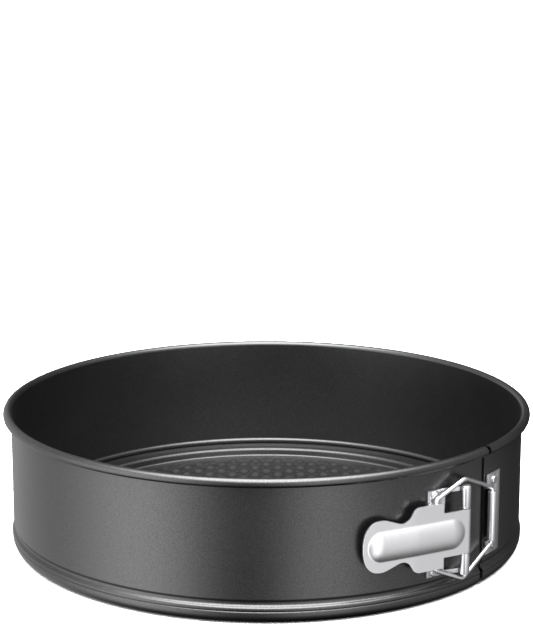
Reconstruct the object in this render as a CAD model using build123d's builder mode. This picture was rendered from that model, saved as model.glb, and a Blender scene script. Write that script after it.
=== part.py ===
"""Springform pan: a split side band with an over-centre lever latch, and a loose stepped base."""
from build123d import *
import os
from math import acos, asin, atan2, cos, degrees, hypot, radians, sin, sqrt, tan

os.makedirs("parts", exist_ok=True)

# Millimetres. +Z is up and the origin is on the pan's axis, in the plane that it stands on.
# The band's gap and the latch are on the -Y side. Angles around the band run from -Y toward +X.

# ----- Side band: one strip of coated steel, curled at the top and channelled at the foot -----
inner_diameter = 255.0
pan_height = 69.2
band_sheet = 0.6
bead_radius = 2.25  # outside of the curled rim
bead_turn = 300.0
gap_width = 2.4
channel_bulge = 0.8  # how far the foot channel stands out past the wall
channel_foot = 5.7  # height where the channel's side turns straight up
groove_crest = 0.8
groove_floor = 0.5
groove_turn = 40.0
channel_shoulder = 1.3
neck_radius = 2.0
neck_depth = 0.85
neck_blend = 1.8
lip_length = 1.6
tongue_length = 24.0
tongue_play = 0.2
tongue_margin = 2.0

# ----- Base: a pressed disc whose turned-down edge sits in the foot channel -----
base_sheet = 0.8
base_play = 0.3
base_corner = 2.2
flange_width = 8.2
step_depth = 4.2
step_slope = 76.0
step_radius = 1.6

# ----- Latch: bracket, pin, lever, bail and catch -----
fit_gap = 0.2
plate_sheet = 1.0
wall_margin = 5.4
latch_drop = 3.9
pin_radius = 1.3
pin_play = 0.1
side_play = 0.3
pin_from_gap = 21.0
pin_standoff = 6.05
pin_head = 0.7
foot_from_gap = 38.0
foot_width = 7.2
arm_strip = 2.0
arm_bend = 6.0
curl_turn = 285.0
rivet_radius = 1.2
rivet_head = 2.0
rivet_dome = 0.9
rivet_edge = 2.2
rivet_from_gap = 34.2

lever_length = 56.8
hinge_length = 13.3
shoulder_length = 28.0
shoulder_step = 5.0
ear_gap = 0.9
ear_along = 16.0
ear_radius = 1.9
ear_standoff = 3.24
ear_root = 10.0
paddle_inset = 3.4
paddle_reach = 9.7
neck_inset = 3.2
neck_along = 32.8
paddle_bend = 4.0
paddle_start = 31.0
dome_start = 3.0
dome_end = 52.0
dome_height = 2.8
dome_inset = 4.0

wire_radius = 1.0
wire_bend = 1.6
corner_bend = 4.0
corner_reach = 3.5
corner_drop = 1.5
wire_tail = 1.2

catch_sheet = 0.9
catch_inset = 1.0
catch_from_gap = 1.7
catch_width = 12.3
catch_rivet_edge = 3.7
barrel_from_gap = 4.34
barrel_standoff = 2.9
barrel_gap = 2.0
barrel_turn = 1.8
joggle_length = 5.0

# ----- Sizes that follow -----
inner_radius = inner_diameter / 2
outer_radius = inner_radius + band_sheet
wall_line = inner_radius + band_sheet / 2
channel_line = wall_line + channel_bulge
channel_arc = channel_foot - band_sheet / 2
groove_height = (groove_crest + groove_floor) * sin(radians(groove_turn))
channel_top = channel_foot + 2 * groove_height
lip_edge = channel_line - channel_arc
bead_line = bead_radius - band_sheet / 2

neck_line = wall_line - neck_depth
shoulder_reach = channel_shoulder + neck_radius
neck_turn = degrees(acos(1 - (channel_line - neck_line) / shoulder_reach))
neck_height = channel_top + shoulder_reach * sin(radians(neck_turn))
neck_exit = degrees(acos(1 - neck_depth / (neck_radius + neck_blend)))
wall_low = neck_height + (neck_radius + neck_blend) * sin(radians(neck_exit))
wall_high = pan_height - 2 * bead_radius
half_wall = (wall_high - wall_low) / 2

latch_height = wall_low + half_wall - latch_drop
bracket_half = half_wall - wall_margin
rivet_row = bracket_half - rivet_edge
shoulder_half = rivet_row - rivet_head - ear_gap
knuckle_half = shoulder_half - shoulder_step
paddle_radius = shoulder_half - paddle_inset
catch_half = bracket_half - catch_inset
catch_row = catch_half - catch_rivet_edge
barrel_half = catch_row - rivet_head - barrel_gap
ear_drop = pin_radius + pin_play - wire_radius - fit_gap


def gap_angle(distance, radius):
    """Degrees around the band of a place that stands this far from the gap's middle."""
    return degrees(asin(distance / radius))


def around(radius, angle):
    """Plan position at this radius, this many degrees from -Y toward +X."""
    return Vector(radius * sin(radians(angle)), -radius * cos(radians(angle)))


def radial_plane(radius, angle, height):
    """Plane at this place on the band that faces straight out."""
    facing = around(1, angle)
    return Plane(origin=facing * radius + Vector(0, 0, height), x_dir=(-facing.Y, facing.X, 0),
                 z_dir=facing)


def curved_sheet(inner, thickness, start, end):
    """Plan of a sheet that lies around the band between two angles."""
    with BuildSketch() as plan:
        with BuildLine():
            inside = CenterArc((0, 0), inner, start - 90, end - start)
            outside = CenterArc((0, 0), inner + thickness, start - 90, end - start)
            Line(inside @ 0, outside @ 0)
            Line(inside @ 1, outside @ 1)
        make_face()
    return plan.sketch


# ----- Latch layout in plan: pin, ears, bail corner and catch barrel -----
pin_reach = outer_radius + pin_standoff
pin_angle = -gap_angle(pin_from_gap, pin_reach)
pin_place = around(pin_reach, pin_angle)
ear_reach = outer_radius + ear_standoff
ear_arm = hypot(ear_along, ear_drop)
ear_angle = pin_angle - degrees(acos((pin_reach**2 + ear_reach**2 - ear_arm**2)
                                     / (2 * pin_reach * ear_reach)))
ear_place = around(ear_reach, ear_angle)
ear_line = ear_place - pin_place
lever_angle = degrees(atan2(ear_line.Y, ear_line.X) - atan2(ear_drop, ear_along))
lever_plane = Plane(origin=pin_place + Vector(0, 0, latch_height),
                    x_dir=(cos(radians(lever_angle)), sin(radians(lever_angle)), 0), z_dir=(0, 0, 1))
lever_face = Plane(origin=lever_plane.origin, x_dir=lever_plane.x_dir, z_dir=-lever_plane.y_dir)
barrel_reach = outer_radius + barrel_standoff
barrel_angle = gap_angle(barrel_from_gap, barrel_reach)
barrel_place = around(barrel_reach, barrel_angle)
corner_place = pin_place - lever_plane.y_dir * corner_drop
rivet_angle = -gap_angle(rivet_from_gap, outer_radius)
catch_start = gap_angle(catch_from_gap + gap_width / 2, outer_radius)
catch_end = catch_start + degrees(catch_width / outer_radius)
catch_middle = (catch_start + catch_end) / 2

# ----- Side band -----
with BuildPart() as side_band:
    with BuildSketch(Plane.XZ):
        with BuildLine():
            lip = Line((lip_edge - lip_length, band_sheet / 2), (lip_edge, band_sheet / 2))
            heel = JernArc(lip @ 1, lip % 1, channel_arc, 90)
            crest = JernArc(heel @ 1, heel % 1, groove_crest, groove_turn)
            valley = JernArc(crest @ 1, crest % 1, groove_floor, -2 * groove_turn)
            side = JernArc(valley @ 1, valley % 1, groove_crest, groove_turn)
            shoulder = JernArc(side @ 1, side % 1, channel_shoulder, neck_turn)
            neck = JernArc(shoulder @ 1, shoulder % 1, neck_radius, -neck_turn - neck_exit)
            blend = JernArc(neck @ 1, neck % 1, neck_blend, neck_exit)
            wall = Line(blend @ 1, (wall_line, pan_height - bead_radius))
            JernArc(wall @ 1, wall % 1, bead_line, -bead_turn)
        trace(line_width=band_sheet)
    revolve(axis=Axis.Z)
    with Locations((0, -inner_radius, pan_height / 2)):
        Box(gap_width, 8 * (bead_radius + lip_length), 2 * pan_height, mode=Mode.SUBTRACT)
    # The tongue is welded inside the latch end and slides behind the catch end.
    tongue_low = wall_low + tongue_margin
    tongue_tip = degrees(tongue_length / inner_radius)
    tongue_inner = inner_radius - tongue_play - band_sheet
    with BuildSketch(Plane.XY.offset(tongue_low)):
        add(curved_sheet(tongue_inner, band_sheet, -tongue_tip, tongue_tip))
        add(curved_sheet(tongue_inner, band_sheet + tongue_play, -tongue_tip,
                         -gap_angle(gap_width / 2, inner_radius)))
    extrude(amount=wall_high - tongue_margin - tongue_low)
    for rise in (-rivet_row, rivet_row):
        with BuildSketch(radial_plane(tongue_inner, rivet_angle, latch_height + rise)):
            Circle(rivet_radius)
        extrude(amount=2 * (outer_radius - tongue_inner), mode=Mode.SUBTRACT)
    for rise in (-catch_row, catch_row):
        with BuildSketch(radial_plane(inner_radius - tongue_play / 2, catch_middle,
                                      latch_height + rise)):
            Circle(rivet_radius + fit_gap)
        extrude(amount=2 * band_sheet, mode=Mode.SUBTRACT)
side_band.part.label = "side_band"
export_step(side_band.part, "parts/side_band.step")

# ----- Base plate: its turned-down edge stands in the channel, its floor is pressed down -----
base_radius = inner_radius - base_play
edge_line = base_corner - base_sheet / 2
corner_center = base_radius - base_corner
neck_room = neck_radius + band_sheet / 2 + base_play + base_corner
neck_reach = neck_line + neck_radius - corner_center
flange_line = neck_height - sqrt(neck_room**2 - neck_reach**2) + edge_line
seat_room = channel_arc - band_sheet / 2 - base_play
seat_height = channel_foot - sqrt(seat_room**2 - (base_radius - lip_edge)**2)
step_rise = step_depth - 2 * step_radius * (1 - cos(radians(step_slope)))
with BuildPart() as base_plate:
    with BuildSketch(Plane.XZ):
        with BuildLine():
            flange = Line((corner_center - flange_width, flange_line), (corner_center, flange_line))
            edge = JernArc(flange @ 1, flange % 1, edge_line, -90)
            Line(edge @ 1, (corner_center + edge_line, seat_height))
            crest = JernArc(flange @ 0, (-1, 0), step_radius, step_slope)
            ramp = PolarLine(crest @ 1, step_rise / sin(radians(step_slope)), direction=crest % 1)
            toe = JernArc(ramp @ 1, ramp % 1, step_radius, -step_slope)
            Line(toe @ 1, (0, flange_line - step_depth))
        trace(line_width=base_sheet)
    revolve(axis=Axis.Z)
base_plate.part.label = "base_plate"
export_step(base_plate.part, "parts/base_plate.step")

# ----- Latch bracket: a foot on the band and two arms curled around the pin -----
foot_line = outer_radius + plate_sheet / 2
foot_start = -gap_angle(foot_from_gap, outer_radius)
foot_end = foot_start + degrees(foot_width / outer_radius)
curl_line = pin_radius + plate_sheet / 2
bend_to_pin = pin_place - around(foot_line + arm_bend, foot_end)
arm_angle = degrees(atan2(bend_to_pin.Y, bend_to_pin.X)
                    + asin((curl_line - arm_bend) / bend_to_pin.length))
arm_touch = pin_place - around(curl_line, arm_angle)
arm_half = knuckle_half + side_play
with BuildPart() as latch_bracket:
    with BuildSketch(Plane.XY.offset(latch_height - bracket_half)):
        add(curved_sheet(outer_radius, plate_sheet, foot_start, foot_end))
    extrude(amount=2 * bracket_half)
    for bottom in (latch_height - bracket_half, latch_height + arm_half):
        with BuildSketch(Plane.XY.offset(bottom)):
            with BuildLine():
                bend = JernArc(around(foot_line, foot_end), around(1, foot_end + 90), arm_bend,
                               arm_angle - foot_end)
                arm = Line(bend @ 1, arm_touch)
                JernArc(arm @ 1, arm % 1, curl_line, -curl_turn)
            trace(line_width=plate_sheet)
        extrude(amount=bracket_half - arm_half)
    # Each arm is open on the lever's side, so that only a strip at its outer edge is left.
    with Locations(Plane(origin=((arm @ 0.5).X, (arm @ 0.5).Y, latch_height),
                         x_dir=((arm % 0.5).X, (arm % 0.5).Y, 0), z_dir=(0, 0, 1))):
        Box(0.8 * arm.length, 4 * plate_sheet, 2 * (bracket_half - arm_strip),
            mode=Mode.SUBTRACT)
    for rise in (-rivet_row, rivet_row):
        with BuildSketch(radial_plane(inner_radius, rivet_angle, latch_height + rise)):
            Circle(rivet_radius)
        extrude(amount=2 * (foot_line - inner_radius), mode=Mode.SUBTRACT)
latch_bracket.part.label = "latch_bracket"
export_step(latch_bracket.part, "parts/latch_bracket.step")

# ----- Hinge pin with a flat head at each end -----
with BuildPart() as hinge_pin:
    with BuildSketch(Plane(origin=pin_place + Vector(0, 0, latch_height))):
        Circle(pin_radius)
    extrude(amount=bracket_half, both=True)
    for end in (-1, 1):
        with BuildSketch(Plane(origin=pin_place + Vector(0, 0, latch_height + end * bracket_half))):
            Circle(pin_radius + pin_head)
        extrude(amount=end * pin_head)
    chamfer(hinge_pin.edges().group_by(Axis.Z)[0] + hinge_pin.edges().group_by(Axis.Z)[-1],
            pin_head / 3)
hinge_pin.part.label = "hinge_pin"
export_step(hinge_pin.part, "parts/hinge_pin.step")


def domed_rivet(angle, height, seat):
    """Rivet from the band's inner face to a domed head on its seat."""
    with BuildPart() as rivet:
        with BuildSketch(radial_plane(inner_radius, angle, height)):
            Circle(rivet_radius)
        extrude(amount=seat - inner_radius)
        with BuildSketch(radial_plane(seat, angle, height)):
            Circle(rivet_head)
        extrude(amount=rivet_dome)
        outward = Axis((0, 0, 0), around(1, angle))
        fillet(rivet.edges().group_by(outward)[-1], 0.85 * rivet_dome)
    return rivet.part


with BuildPart() as latch_rivets:
    for rise in (-rivet_row, rivet_row):
        add(domed_rivet(rivet_angle, latch_height + rise, outer_radius + plate_sheet))
latch_rivets.part.label = "latch_rivets"
export_step(latch_rivets.part, "parts/latch_rivets.step")

# ----- Lever: one pressed sheet with a curled hinge, folded ears and a raised oval -----
shank_line = pin_radius + pin_play + plate_sheet / 2
with BuildPart() as latch_lever:
    with BuildSketch(lever_plane.offset(-shoulder_half)):
        with BuildLine():
            shank = Line((paddle_start, shank_line), (0, shank_line))
            JernArc(shank @ 1, shank % 1, shank_line, curl_turn)
            flare = JernArc(shank @ 0, (1, 0), paddle_radius, paddle_bend)
            PolarLine(flare @ 1, lever_length - paddle_start, direction=flare % 1)
        trace(line_width=plate_sheet)
    extrude(amount=2 * shoulder_half)
    with BuildSketch(lever_face.offset(-lever_length)):
        paddle_center = lever_length - paddle_reach
        neck_half = paddle_radius - neck_inset
        curl_back = -shank_line - plate_sheet
        with BuildLine():
            Polyline((curl_back, 0), (curl_back, knuckle_half), (hinge_length, knuckle_half),
                     (hinge_length, shoulder_half), (shoulder_length, shoulder_half),
                     (neck_along, neck_half), (paddle_center, paddle_radius),
                     (paddle_center, 0), close=True)
        make_face()
        mirror(about=Plane.XZ)
        with Locations((paddle_center, 0)):
            Ellipse(paddle_reach, paddle_radius)
    extrude(amount=2 * lever_length, mode=Mode.INTERSECT)
    # The oval is pressed out of the sheet and follows the flare of the paddle.
    flare_rise = (dome_end - paddle_start) * tan(radians(paddle_bend))
    dome_plane = lever_face.offset(-shank_line).rotated((0, degrees(atan2(flare_rise, dome_end)), 0))
    dome_half = knuckle_half - dome_inset
    with BuildSketch(dome_plane):
        with Locations(((dome_start + dome_end) / 2, 0)):
            SlotOverall(dome_end - dome_start, 2 * dome_half)
    extrude(amount=-dome_height - plate_sheet / 2)
    outward = Axis(dome_plane.origin, -dome_plane.z_dir)
    fillet(latch_lever.faces().sort_by(outward)[-1].edges(), 0.8 * dome_height)
    with BuildSketch(dome_plane.offset(3 * plate_sheet)):
        with Locations(((dome_start + dome_end) / 2, 0)):
            SlotOverall(dome_end - dome_start - 2 * plate_sheet, 2 * (dome_half - plate_sheet))
    extrude(amount=-dome_height - 2.5 * plate_sheet, mode=Mode.SUBTRACT)
    for bottom in (-shoulder_half, shoulder_half - plate_sheet):
        with BuildSketch(lever_plane.offset(bottom)):
            with BuildLine():
                Line((hinge_length, shank_line), (hinge_length + ear_root, shank_line))
                CenterArc((ear_along, ear_drop), ear_radius, 0, 360)
            make_hull()
            with Locations((ear_along, ear_drop)):
                Circle(wire_radius + pin_play, mode=Mode.SUBTRACT)
        extrude(amount=plate_sheet)
latch_lever.part.label = "latch_lever"
export_step(latch_lever.part, "parts/latch_lever.step")


def rounded_route(points, bends):
    """Draw straight runs through the points, joined by arcs that touch both runs."""
    start = points[0]
    for before, corner, after, bend in zip(points, points[1:], points[2:], bends):
        back = (before - corner).normalized()
        onward = (after - corner).normalized()
        half_turn = radians(180 - back.get_angle(onward)) / 2
        trim = bend * tan(half_turn)
        middle = (back + onward).normalized() * (bend / cos(half_turn) - bend)
        Line(start, corner + back * trim)
        ThreePointArc(corner + back * trim, corner + middle, corner + onward * trim)
        start = corner + onward * trim
    Line(start, points[-1])


# ----- Bail: one bent wire from ear to ear, through the catch's barrel -----
half_route = [(ear_place, shoulder_half - plate_sheet - wire_tail),
              (ear_place, shoulder_half + 2 * fit_gap + wire_radius),
              (corner_place, bracket_half + corner_reach),
              (barrel_place, barrel_half + barrel_turn)]
bail_bends = [wire_bend, corner_bend, wire_bend]
with BuildPart() as bail_wire:
    with BuildLine() as bail_line:
        upper = [place + Vector(0, 0, latch_height + rise) for place, rise in half_route]
        lower = [place + Vector(0, 0, latch_height - rise) for place, rise in reversed(half_route)]
        rounded_route(upper + lower, bail_bends + bail_bends[::-1])
    with BuildSketch(Plane(origin=bail_line.line @ 0, z_dir=bail_line.line % 0)):
        Circle(wire_radius)
    sweep()
bail_wire.part.label = "bail_wire"
export_step(bail_wire.part, "parts/bail_wire.step")

# ----- Catch: a riveted plate whose edge is curled into a barrel for the bail -----
catch_inner = outer_radius + fit_gap
barrel_line = wire_radius + pin_play + catch_sheet / 2
joggle_angle = barrel_angle + degrees(joggle_length / outer_radius)
joggle_start = around(catch_inner + catch_sheet / 2, joggle_angle)
to_barrel = barrel_place - joggle_start
joggle_turn = degrees(atan2(to_barrel.Y, to_barrel.X) - asin(barrel_line / to_barrel.length))
joggle_end = barrel_place + around(barrel_line, joggle_turn)
with BuildPart() as catch_plate:
    with BuildSketch(Plane.XY.offset(latch_height - catch_half)):
        add(curved_sheet(catch_inner, catch_sheet, catch_start, catch_end))
    extrude(amount=2 * catch_half)
    barrel_room = barrel_half + barrel_gap / 2
    with BuildSketch(Plane.XY.offset(latch_height - barrel_room)):
        add(curved_sheet(outer_radius, 2 * catch_sheet, 0,
                         joggle_angle - degrees(catch_sheet / outer_radius)))
    extrude(amount=2 * barrel_room, mode=Mode.SUBTRACT)
    with BuildSketch(Plane.XY.offset(latch_height - barrel_half)):
        with BuildLine():
            joggle = Line(joggle_start, joggle_end)
            JernArc(joggle @ 1, joggle % 1, barrel_line, curl_turn)
        trace(line_width=catch_sheet)
    extrude(amount=2 * barrel_half)
    for rise in (-catch_row, catch_row):
        with BuildSketch(radial_plane(outer_radius, catch_middle, latch_height + rise)):
            Circle(rivet_radius)
        extrude(amount=2 * catch_sheet, mode=Mode.SUBTRACT)
catch_plate.part.label = "catch_plate"
export_step(catch_plate.part, "parts/catch_plate.step")

with BuildPart() as catch_rivets:
    for rise in (-catch_row, catch_row):
        add(domed_rivet(catch_middle, latch_height + rise, catch_inner + catch_sheet))
catch_rivets.part.label = "catch_rivets"
export_step(catch_rivets.part, "parts/catch_rivets.step")
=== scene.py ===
"""Looks of a springform pan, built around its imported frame."""
from math import acos, asin, cos, degrees, hypot, pi, radians, sin, tan

import bmesh
import bpy
from mathutils import Matrix, Vector


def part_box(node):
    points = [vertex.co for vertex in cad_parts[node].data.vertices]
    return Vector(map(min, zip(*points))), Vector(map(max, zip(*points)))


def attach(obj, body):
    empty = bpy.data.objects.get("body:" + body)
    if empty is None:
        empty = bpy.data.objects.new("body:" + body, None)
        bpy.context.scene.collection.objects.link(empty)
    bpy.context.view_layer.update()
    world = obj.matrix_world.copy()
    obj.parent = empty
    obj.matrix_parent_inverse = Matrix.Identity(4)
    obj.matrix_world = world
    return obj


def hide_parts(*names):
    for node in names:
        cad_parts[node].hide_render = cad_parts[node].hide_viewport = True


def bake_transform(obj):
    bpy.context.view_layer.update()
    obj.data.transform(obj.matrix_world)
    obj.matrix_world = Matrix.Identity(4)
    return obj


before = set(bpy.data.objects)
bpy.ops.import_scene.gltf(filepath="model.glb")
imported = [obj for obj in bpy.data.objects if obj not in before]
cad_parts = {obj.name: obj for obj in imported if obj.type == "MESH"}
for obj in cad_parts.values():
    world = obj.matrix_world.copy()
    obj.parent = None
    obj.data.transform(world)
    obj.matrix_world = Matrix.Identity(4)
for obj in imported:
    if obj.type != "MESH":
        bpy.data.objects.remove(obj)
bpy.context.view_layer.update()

# ---- Side band -------------------------------------------------------------------------------
# One long strip of tinplate, roll-formed with a curled rim and a foot channel, then coated with
# a dark non-stick layer. Its two ends meet at the latch; a tongue inside the latch end shuts the
# gap. It is three lengths here: the latch side goes with the ring, the catch side with the catch
# end, and the back length stays in place.
MM = 0.001
band_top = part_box("side_band")[1]
rim_radius = band_top.x
pan_height = band_top.z
band_sheet = 0.6 * MM
bead_radius = 2.25 * MM
bead_turn = 300
gap_width = 2.4 * MM
channel_bulge = 0.8 * MM
channel_foot = 5.7 * MM
groove_crest = 0.8 * MM
groove_floor = 0.5 * MM
groove_turn = 40
channel_shoulder = 1.3 * MM
neck_radius = 2.0 * MM
neck_depth = 0.85 * MM
neck_blend = 1.8 * MM
lip_length = 1.6 * MM
degree_step = 1.25


def linear(hex_color):
    """Turn an sRGB hex colour into linear red, green, blue and alpha."""
    parts = [int(hex_color[place:place + 2], 16) / 255 for place in (1, 3, 5)]
    return [p / 12.92 if p <= 0.04045 else ((p + 0.055) / 1.055) ** 2.4 for p in parts] + [1]


def add_node(tree, kind, settings=None, links=None):
    """Add a node, set its properties and inputs, and link its inputs, by name or number."""
    node = tree.nodes.new(kind)
    for name, value in (settings or {}).items():
        if isinstance(name, int) or name in node.inputs:
            node.inputs[name].default_value = value
        else:
            setattr(node, name, value)
    for name, source in (links or {}).items():
        tree.links.new(source, node.inputs[name])
    return node


def start_material(name):
    """Make an empty node material and return it with its tree and its surface output."""
    material = bpy.data.materials.new(name)
    material.use_nodes = True
    material.node_tree.nodes.clear()
    return material, material.node_tree, add_node(material.node_tree, "ShaderNodeOutputMaterial")


def coated_steel(name, shine):
    """Non-stick coating sprayed and baked on steel: nearly black, satin, with fine mica flakes."""
    material, tree, output = start_material(name)
    place = add_node(tree, "ShaderNodeTexCoord").outputs["Object"]
    flakes = add_node(tree, "ShaderNodeTexNoise", {"Scale": 1 / (0.5 * MM), "Detail": 2.0},
                      {"Vector": place}).outputs["Fac"]
    drift = add_node(tree, "ShaderNodeTexNoise", {"Scale": 1 / (35 * MM), "Detail": 3.0},
                     {"Vector": place}).outputs["Fac"]
    tone = add_node(tree, "ShaderNodeValToRGB", {}, {"Fac": flakes})
    tone.color_ramp.elements[0].position = 0.40
    tone.color_ramp.elements[0].color = linear("#040405")
    tone.color_ramp.elements[1].position = 0.72
    tone.color_ramp.elements[1].color = linear("#101011")
    sheen = add_node(tree, "ShaderNodeMapRange", {"From Min": 0.3, "From Max": 0.7,
                                                  "To Min": shine - 0.1, "To Max": shine + 0.1},
                     {"Value": flakes})
    gloss = add_node(tree, "ShaderNodeMapRange", {"To Min": 0.28, "To Max": 0.35},
                     {"Value": drift})
    grain = add_node(tree, "ShaderNodeBump", {"Strength": 0.15, "Distance": 0.03 * MM},
                     {"Height": flakes})
    shader = add_node(tree, "ShaderNodeBsdfPrincipled", {"IOR": 1.62},
                      {"Base Color": tone.outputs["Color"], "Roughness": gloss.outputs["Result"],
                       "Specular IOR Level": sheen.outputs["Result"],
                       "Normal": grain.outputs["Normal"]})
    tree.links.new(shader.outputs["BSDF"], output.inputs["Surface"])
    return material


# A glossy coat, for the band.
coating = coated_steel("coated_steel", 0.5)


def run(wire, tip, heading, length):
    """Carry a profile wire straight on from its tip; headings turn from outward to up."""
    end = bmesh.ops.extrude_vert_indiv(wire, verts=[tip])["verts"][0]
    end.co = tip.co + Vector((cos(heading), 0, sin(heading))) * length
    return end


def bend(wire, tip, heading, radius, turn, steps):
    """Carry a profile wire on around an arc; a positive turn bends from outward to up."""
    side = 1 if turn > 0 else -1
    centre = tip.co + Vector((-sin(heading), 0, cos(heading))) * radius * side
    spun = bmesh.ops.spin(wire, geom=[tip], cent=centre, axis=(0, -side, 0), dvec=(0, 0, 0),
                          angle=radians(abs(turn)), steps=steps, use_duplicate=False)
    return [g for g in spun["geom_last"] if isinstance(g, bmesh.types.BMVert)][0]


def finish_piece(mesh_work, name, material, sheet=0.0, sharp=35, edge=0.0):
    """Turn a bmesh into a shown object, with a wall, a softened edge and a material if asked."""
    mesh = bpy.data.meshes.new(name)
    mesh_work.to_mesh(mesh)
    mesh_work.free()
    piece = bpy.data.objects.new(name, mesh)
    bpy.context.scene.collection.objects.link(piece)
    mesh.materials.append(material)
    if sheet:
        wall = piece.modifiers.new("wall", "SOLIDIFY")
        wall.thickness = sheet
        wall.offset = 0
        wall.use_even_offset = True
    if edge:
        soft = piece.modifiers.new("edge", "BEVEL")
        soft.width = edge
        soft.segments = 2
        soft.angle_limit = radians(50)
    view = bpy.context.evaluated_depsgraph_get()
    final = bpy.data.meshes.new_from_object(piece.evaluated_get(view))
    piece.modifiers.clear()
    piece.data = final
    final.name = name
    bpy.data.meshes.remove(mesh)
    final.shade_smooth()
    final.set_sharp_from_angle(angle=radians(sharp))
    return piece


wall_line = rim_radius - 2 * bead_radius + band_sheet / 2
channel_line = wall_line + channel_bulge
channel_arc = channel_foot - band_sheet / 2
neck_line = wall_line - neck_depth
neck_turn = degrees(acos(1 - (channel_line - neck_line) / (channel_shoulder + neck_radius)))
neck_exit = degrees(acos(1 - neck_depth / (neck_radius + neck_blend)))


def band_length(name, start, end):
    """Spin the band's section between two angles, counted from -Y toward +X."""
    band = bmesh.new()
    edge = channel_line - channel_arc
    tip = band.verts.new((edge - lip_length, 0, band_sheet / 2))
    tip = run(band, tip, 0, lip_length)
    tip = bend(band, tip, 0, channel_arc, 90, 10)
    tip = bend(band, tip, radians(90), groove_crest, groove_turn, 6)
    tip = bend(band, tip, radians(90 + groove_turn), groove_floor, -2 * groove_turn, 6)
    tip = bend(band, tip, radians(90 - groove_turn), groove_crest, groove_turn, 6)
    tip = bend(band, tip, radians(90), channel_shoulder, neck_turn, 8)
    heading = radians(90 + neck_turn)
    tip = bend(band, tip, heading, neck_radius, -neck_turn - neck_exit, 12)
    heading -= radians(neck_turn + neck_exit)
    tip = bend(band, tip, heading, neck_blend, neck_exit, 8)
    tip = run(band, tip, radians(90), pan_height - bead_radius - tip.co.z)
    bend(band, tip, radians(90), bead_radius - band_sheet / 2, -bead_turn, 30)
    bmesh.ops.rotate(band, verts=band.verts, cent=(0, 0, 0),
                     matrix=Matrix.Rotation(radians(start - 90), 3, "Z"))
    bmesh.ops.spin(band, geom=band.verts[:] + band.edges[:], cent=(0, 0, 0), axis=(0, 0, 1),
                   dvec=(0, 0, 0), angle=radians(end - start),
                   steps=round((end - start) / degree_step), use_duplicate=False)
    bmesh.ops.recalc_face_normals(band, faces=band.faces)
    return finish_piece(band, name, coating, band_sheet)


gap_half = degrees(asin(gap_width / 2 / wall_line))
back_start = 130
latch_side = band_length("band_latch_side", -back_start, -gap_half)
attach(latch_side, "ring")
catch_side = band_length("band_catch_side", gap_half, back_start)
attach(catch_side, "catch_end")
back = band_length("band_back", back_start, 360 - back_start)
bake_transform(back)

# The tongue stands just inside the wall, behind the gap, and reaches as far on both sides of it.
tongue_reach = 24.0 * MM
tongue_play = 0.2 * MM
tongue_low = 14.7 * MM
tongue_high = 62.7 * MM
tongue_steps = 24
tongue_line = wall_line - band_sheet - tongue_play
tongue = bmesh.new()
foot = tongue.verts.new((0, -tongue_line, tongue_low))
bmesh.ops.extrude_vert_indiv(tongue, verts=[foot])["verts"][0].co.z = tongue_high
turn = tongue_reach / wall_line
bmesh.ops.rotate(tongue, verts=tongue.verts, cent=(0, 0, 0), matrix=Matrix.Rotation(-turn, 3, "Z"))
bmesh.ops.spin(tongue, geom=tongue.verts[:] + tongue.edges[:], cent=(0, 0, 0), axis=(0, 0, 1),
               dvec=(0, 0, 0), angle=2 * turn, steps=tongue_steps, use_duplicate=False)
tongue = finish_piece(tongue, "band_tongue", coating, band_sheet)
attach(tongue, "ring")
for piece in (latch_side, catch_side, back, tongue):
    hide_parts("side_band")

# ---- Base plate ------------------------------------------------------------------------------
# A coated steel disc pressed in one stroke: a turned-down edge that stands in the band's channel,
# a flat flange, a sloped step and a sunk floor that is embossed all over with small bumps.
base_low, base_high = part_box("base_plate")
# A duller coat than the band's.
base_coating = coated_steel("coated_base", 0.33)
base_sheet = 0.8 * MM
base_corner = 2.2 * MM
flange_width = 8.2 * MM
step_depth = 4.2 * MM
step_slope = 76
step_radius = 1.6 * MM
bump_pitch = 12.6 * MM
bump_height = 0.7 * MM
bump_reach = 110 * MM
bump_fade = 3.0 * MM
bump_turn = -51.65
floor_edge = 111 * MM
floor_rows = 88
base_steps = 512
edge_line = base_corner - base_sheet / 2
corner_centre = base_high.x - base_corner
flange_line = base_high.z - base_sheet / 2
step_rise = step_depth - 2 * step_radius * (1 - cos(radians(step_slope)))
base_rim = bmesh.new()
tip = base_rim.verts.new((corner_centre + edge_line, 0, base_low.z))
tip = run(base_rim, tip, radians(90), flange_line - edge_line - base_low.z)
tip = bend(base_rim, tip, radians(90), edge_line, 90, 10)
tip = run(base_rim, tip, radians(180), flange_width)
tip = bend(base_rim, tip, radians(180), step_radius, step_slope, 8)
tip = run(base_rim, tip, radians(180 + step_slope), step_rise / sin(radians(step_slope)))
tip = bend(base_rim, tip, radians(180 + step_slope), step_radius, -step_slope, 8)
tip = run(base_rim, tip, radians(180), tip.co.x - floor_edge)
floor_line = tip.co.z
bmesh.ops.spin(base_rim, geom=base_rim.verts[:] + base_rim.edges[:], cent=(0, 0, 0), axis=(0, 0, 1),
               dvec=(0, 0, 0), angle=2 * pi, steps=base_steps // 2, use_merge=True,
               use_duplicate=False)
bmesh.ops.recalc_face_normals(base_rim, faces=base_rim.faces)
base_rim = finish_piece(base_rim, "base_rim", base_coating, base_sheet)

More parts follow.
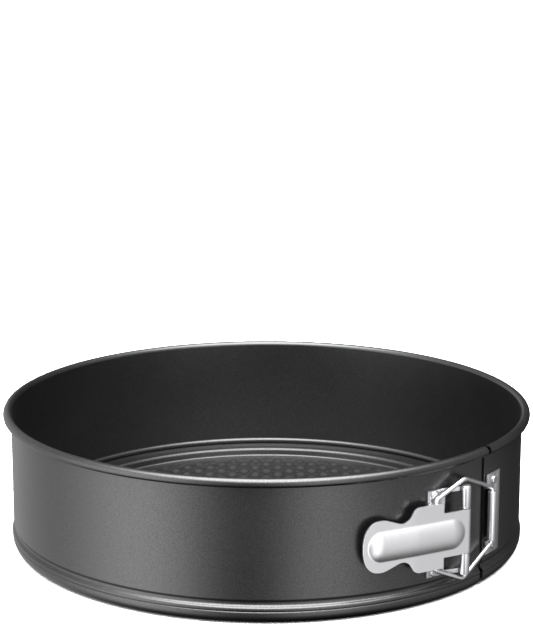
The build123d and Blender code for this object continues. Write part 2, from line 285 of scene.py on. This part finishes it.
# The floor is a fine grid of rings, lifted and sunk in staggered rows of bumps.
base_floor = bmesh.new()
tip = base_floor.verts.new((floor_edge, 0, floor_line))
for row in range(floor_rows):
    tip = run(base_floor, tip, radians(180), floor_edge / floor_rows)
bmesh.ops.spin(base_floor, geom=base_floor.verts[:] + base_floor.edges[:], cent=(0, 0, 0),
               axis=(0, 0, 1), dvec=(0, 0, 0), angle=2 * pi, steps=base_steps, use_merge=True,
               use_duplicate=False)
bmesh.ops.remove_doubles(base_floor, verts=base_floor.verts, dist=0.01 * MM)
bmesh.ops.recalc_face_normals(base_floor, faces=base_floor.faces)
wave = 2 * pi / bump_pitch
for vert in base_floor.verts:
    turned = Matrix.Rotation(-radians(bump_turn), 3, "Z") @ vert.co
    fade = min(1, max(0, (bump_reach - hypot(vert.co.x, vert.co.y)) / bump_fade))
    vert.co.z += bump_height * fade * cos(wave * turned.x) * cos(wave * turned.y)
base_floor = finish_piece(base_floor, "base_floor", base_coating, base_sheet)
for piece in (base_rim, base_floor):
    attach(piece, "base")
    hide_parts("base_plate")

# ---- Latch plates ----------------------------------------------------------------------------
# The bracket, lever and catch are stamped from steel about a millimetre thick. The lever, catch
# and wire are plated with satin nickel, the bracket, pin and rivets with duller zinc; both have
# a very fine rolled grain.
stamped_edge = 0.12 * MM


def plated_steel(name, tint, dull):
    """Plating over rolled steel: bright, softly blurred, with faint rolling lines."""
    material, tree, output = start_material(name)
    place = add_node(tree, "ShaderNodeTexCoord").outputs["Object"]
    stretched = add_node(tree, "ShaderNodeMapping", {"Scale": (1, 1, 0.15)}, {"Vector": place})
    lines = add_node(tree, "ShaderNodeTexNoise", {"Scale": 1 / (0.8 * MM), "Detail": 3.0},
                     {"Vector": stretched.outputs["Vector"]})
    gloss = add_node(tree, "ShaderNodeMapRange", {"To Min": dull - 0.06, "To Max": dull + 0.06},
                     {"Value": lines.outputs["Fac"]})
    grain = add_node(tree, "ShaderNodeBump", {"Strength": 0.05, "Distance": 0.02 * MM},
                     {"Height": lines.outputs["Fac"]})
    shader = add_node(tree, "ShaderNodeBsdfPrincipled",
                      {"Metallic": 1.0, "Base Color": linear(tint)},
                      {"Roughness": gloss.outputs["Result"], "Normal": grain.outputs["Normal"]})
    tree.links.new(shader.outputs["BSDF"], output.inputs["Surface"])
    return material


# Bright satin nickel, and a greyer, blurrier zinc.
nickel = plated_steel("satin_nickel", "#cfcfd1", 0.32)
zinc = plated_steel("dull_zinc", "#b4b4b6", 0.36)


def softened(name, body, edge, plating):
    """Stand in for a CAD node with a merged copy of it whose edges are slightly rounded."""
    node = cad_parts[name]
    copy = bmesh.new()
    copy.from_mesh(node.data)
    bmesh.ops.transform(copy, matrix=node.matrix_world, verts=copy.verts)
    bmesh.ops.remove_doubles(copy, verts=copy.verts, dist=0.003 * MM)
    bmesh.ops.dissolve_limit(copy, angle_limit=radians(1), verts=copy.verts, edges=copy.edges)
    piece = finish_piece(copy, name + "_shown", plating, edge=edge)
    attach(piece, body)
    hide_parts(name)
    return piece


softened("latch_bracket", "ring", stamped_edge, zinc)
softened("catch_plate", "catch_end", stamped_edge, nickel)
for name, plating in (("bail_wire", nickel), ("hinge_pin", zinc), ("latch_rivets", zinc),
                      ("catch_rivets", zinc)):
    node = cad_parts[name]
    node.data.materials.clear()
    node.data.materials.append(plating)

# ---- Lever -----------------------------------------------------------------------------------
# One stamping: a wide shoulder, a narrow neck and a rounded thumb paddle, stiffened by a long
# drawn rib. Its hinge edge is curled around the pin and two small ears carry the bail's ends.
pin_low, pin_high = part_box("hinge_pin")
pin_place = (pin_low + pin_high) / 2
lever_turn = 156.78
plate_sheet = 1.0 * MM
curl_line = 1.9 * MM
curl_turn = 285
lever_grid = 0.5 * MM
lever_rows = 114
side_rows = 31
rib_start = 9.0 * MM
rib_end = 45.6 * MM
rib_half = 7.1 * MM
rib_height = 2.1 * MM
rib_crest = 2.1
paddle_start = 28.0 * MM
paddle_bend = -2
ear_line = 15.03 * MM
ear_round = 1.8 * MM
ear_corners = ((13.9, 1.9), (22.0, 1.9), (18.4, -1.7), (13.9, -1.7))
# Half of the outline, from the hinge to the thumb end: distance from the pin, distance from the
# middle, and how far the corner is rounded, in millimetres.
lever_corners = ((0, 10.53, 0), (13.3, 10.53, 0.5), (13.3, 15.53, 1.0), (28.4, 15.53, 2.4),
                 (32.8, 7.9, 4.2), (46.4, 12.9, 3.7), (52.6, 10.5, 3.3), (55.4, 4.6, 3.3))
lever_stand = Matrix.Translation(pin_place) @ Matrix.Rotation(radians(lever_turn), 4, "Z")

lever = bmesh.new()
upper = [lever.verts.new((u * MM, curl_line, w * MM)) for u, w, size in lever_corners]
lower = [lever.verts.new((u * MM, curl_line, -w * MM)) for u, w, size in lever_corners]
lever.faces.new(upper + lower[::-1])
for corners in (upper, lower):
    for corner, (u, w, size) in zip(corners, lever_corners):
        if size:
            bmesh.ops.bevel(lever, geom=[corner], offset=size * MM, offset_type="OFFSET",
                            segments=8, profile=0.5, affect="VERTICES", material=-1)
for row in range(1, lever_rows):
    bmesh.ops.bisect_plane(lever, geom=lever.verts[:] + lever.edges[:] + lever.faces[:],
                           dist=0.001 * MM, plane_co=(row * lever_grid, 0, 0), plane_no=(1, 0, 0))
for row in range(-side_rows, side_rows + 1):
    bmesh.ops.bisect_plane(lever, geom=lever.verts[:] + lever.edges[:] + lever.faces[:],
                           dist=0.001 * MM, plane_co=(0, 0, row * lever_grid), plane_no=(0, 0, 1))
for vert in lever.verts:
    off_end = max(0, rib_start - vert.co.x, vert.co.x - rib_end)
    reach = hypot(off_end, vert.co.z) / rib_half
    if reach < 1:
        vert.co.y += rib_height * (1 - reach ** rib_crest)
    vert.co.y += max(0, vert.co.x - paddle_start) * tan(radians(paddle_bend))
hinge_edge = [e for e in lever.edges if max(v.co.x for v in e.verts) < 0.001 * MM]
hinge_verts = list({v for e in hinge_edge for v in e.verts})
bmesh.ops.spin(lever, geom=hinge_verts + hinge_edge, cent=(0, 0, 0), axis=(0, 0, 1),
               dvec=(0, 0, 0), angle=radians(curl_turn), steps=28, use_duplicate=False)
bmesh.ops.recalc_face_normals(lever, faces=lever.faces)
bmesh.ops.transform(lever, matrix=lever_stand, verts=lever.verts)
lever_plate = finish_piece(lever, "lever_plate", nickel, plate_sheet, edge=0.3 * MM)

ears = bmesh.new()
for side in (-1, 1):
    ear = [ears.verts.new((u * MM, v * MM, side * ear_line)) for u, v in ear_corners]
    ears.faces.new(ear)
    for corner in ear[2:]:
        bmesh.ops.bevel(ears, geom=[corner], offset=ear_round, offset_type="OFFSET", segments=6,
                        profile=0.5, affect="VERTICES", material=-1)
bmesh.ops.transform(ears, matrix=lever_stand, verts=ears.verts)
lever_ears = finish_piece(ears, "lever_ears", nickel, plate_sheet, edge=0.15 * MM)
for piece in (lever_plate, lever_ears):
    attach(piece, "lever")
    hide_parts("latch_lever")

# ---- Studio ----------------------------------------------------------------------------------
# A pale floor under a painted sky: white to the eye, with a broad soft light overhead that
# leans toward the camera, and tall soft lights to the left and right of it with dark between.
view_azimuth = -51.65
view_rise = 19.18
view_distance = 7.305 * rim_radius
aim_height = 114.4 * MM
lens_length = 107.367
film_width = 36


def add_ramp(tree, source, stops):
    """Add a smooth grey ramp over a value, from (position, brightness) stops."""
    ramp = add_node(tree, "ShaderNodeValToRGB", {}, {"Fac": source})
    elements = ramp.color_ramp.elements
    while len(elements) < len(stops):
        elements.new(0.5)
    for element, (position, grey) in zip(elements, stops):
        element.position = position
        element.color = (grey, grey, grey, 1)
    ramp.color_ramp.interpolation = "B_SPLINE"
    return ramp.outputs["Color"]


def around(radius, angle, height):
    """Place at this radius and height, this many degrees from -Y toward +X."""
    return Vector((radius * sin(radians(angle)), -radius * cos(radians(angle)), height))


camera_data = bpy.data.cameras.new("camera")
camera_data.lens = lens_length
camera_data.sensor_width = film_width
camera = bpy.data.objects.new("camera", camera_data)
bpy.context.scene.collection.objects.link(camera)
bpy.context.scene.camera = camera
aim = Vector((0, 0, aim_height))
camera.location = around(view_distance * cos(radians(view_rise)), view_azimuth,
                         view_distance * sin(radians(view_rise)))
camera.rotation_euler = (aim - camera.location).to_track_quat("-Z", "Y").to_euler()

floor_mesh = bmesh.new()
bmesh.ops.create_grid(floor_mesh, x_segments=1, y_segments=1, size=30)
floor_material, floor_tree, floor_output = start_material("studio_floor")
floor_shader = add_node(floor_tree, "ShaderNodeBsdfPrincipled",
                        {"Base Color": linear("#f7f7f7"), "Roughness": 0.8})
floor_tree.links.new(floor_shader.outputs["BSDF"], floor_output.inputs["Surface"])
floor = finish_piece(floor_mesh, "studio_floor", floor_material)
floor.visible_glossy = False
floor.visible_diffuse = False
bpy.context.scene.view_settings.view_transform = "Standard"

world = bpy.data.worlds.new("studio")
bpy.context.scene.world = world
world.use_nodes = True
sky = world.node_tree
sky.nodes.clear()
side_strength = 5.0
top_strength = 16.0
top_lean = 18
# Bearing in degrees, counted from the camera's side toward its right, and brightness there.
side_stops = ((-180, 0.10), (-155, 0.9), (-120, 1.0), (-100, 1.1), (-80, 2.8), (-62, 4.6),
              (-45, 4.2), (-30, 1.6), (-12, 0.02), (4, 0.4), (18, 2.9), (32, 3.0), (46, 0.9),
              (75, 0.85), (100, 0.55), (125, 0.12), (150, 0.02), (180, 0.10))
toward = add_node(sky, "ShaderNodeTexCoord").outputs["Generated"]
turned = add_node(sky, "ShaderNodeMapping", {"Rotation": (0, 0, radians(90 - view_azimuth))},
                  {"Vector": toward})
bearing = add_node(sky, "ShaderNodeTexGradient", {"gradient_type": "RADIAL"},
                   {"Vector": turned.outputs["Vector"]})
rise = add_node(sky, "ShaderNodeSeparateXYZ", {}, {"Vector": toward})
rise = add_node(sky, "ShaderNodeMath", {"operation": "MULTIPLY_ADD", 1: 0.5, 2: 0.5},
                {0: rise.outputs["Z"]}).outputs["Value"]
sides = add_ramp(sky, bearing.outputs["Fac"],
                 [(turn / 360 + 0.5, level / side_strength) for turn, level in side_stops])
heights = add_ramp(sky, rise, ((0.03, 0.02), (0.09, 0.1), (0.16, 0.8), (0.3, 0.9), (0.5, 1.0),
                               (0.66, 0.9), (0.82, 0.2)))
above = add_node(sky, "ShaderNodeVectorMath",
                 {"operation": "DOT_PRODUCT",
                  1: around(sin(radians(top_lean)), view_azimuth, cos(radians(top_lean)))},
                 {0: toward})
top = add_ramp(sky, above.outputs["Value"], ((0.74, 0), (0.82, 0.5), (0.90, 1.0)))
side_light = add_node(sky, "ShaderNodeMath", {"operation": "MULTIPLY"}, {0: sides, 1: heights})
side_light = add_node(sky, "ShaderNodeMath", {"operation": "MULTIPLY", 1: side_strength},
                      {0: side_light.outputs["Value"]})
light = add_node(sky, "ShaderNodeMath", {"operation": "MULTIPLY_ADD", 1: top_strength},
                 {0: top, 2: side_light.outputs["Value"]})
seen = add_node(sky, "ShaderNodeLightPath").outputs["Is Camera Ray"]
shown = add_node(sky, "ShaderNodeMath", {"operation": "MAXIMUM"},
                 {0: light.outputs["Value"], 1: seen})
backdrop = add_node(sky, "ShaderNodeBackground", {"Color": (1, 1, 1, 1)},
                    {"Strength": shown.outputs["Value"]})
add_node(sky, "ShaderNodeOutputWorld", {}, {"Surface": backdrop.outputs["Background"]})
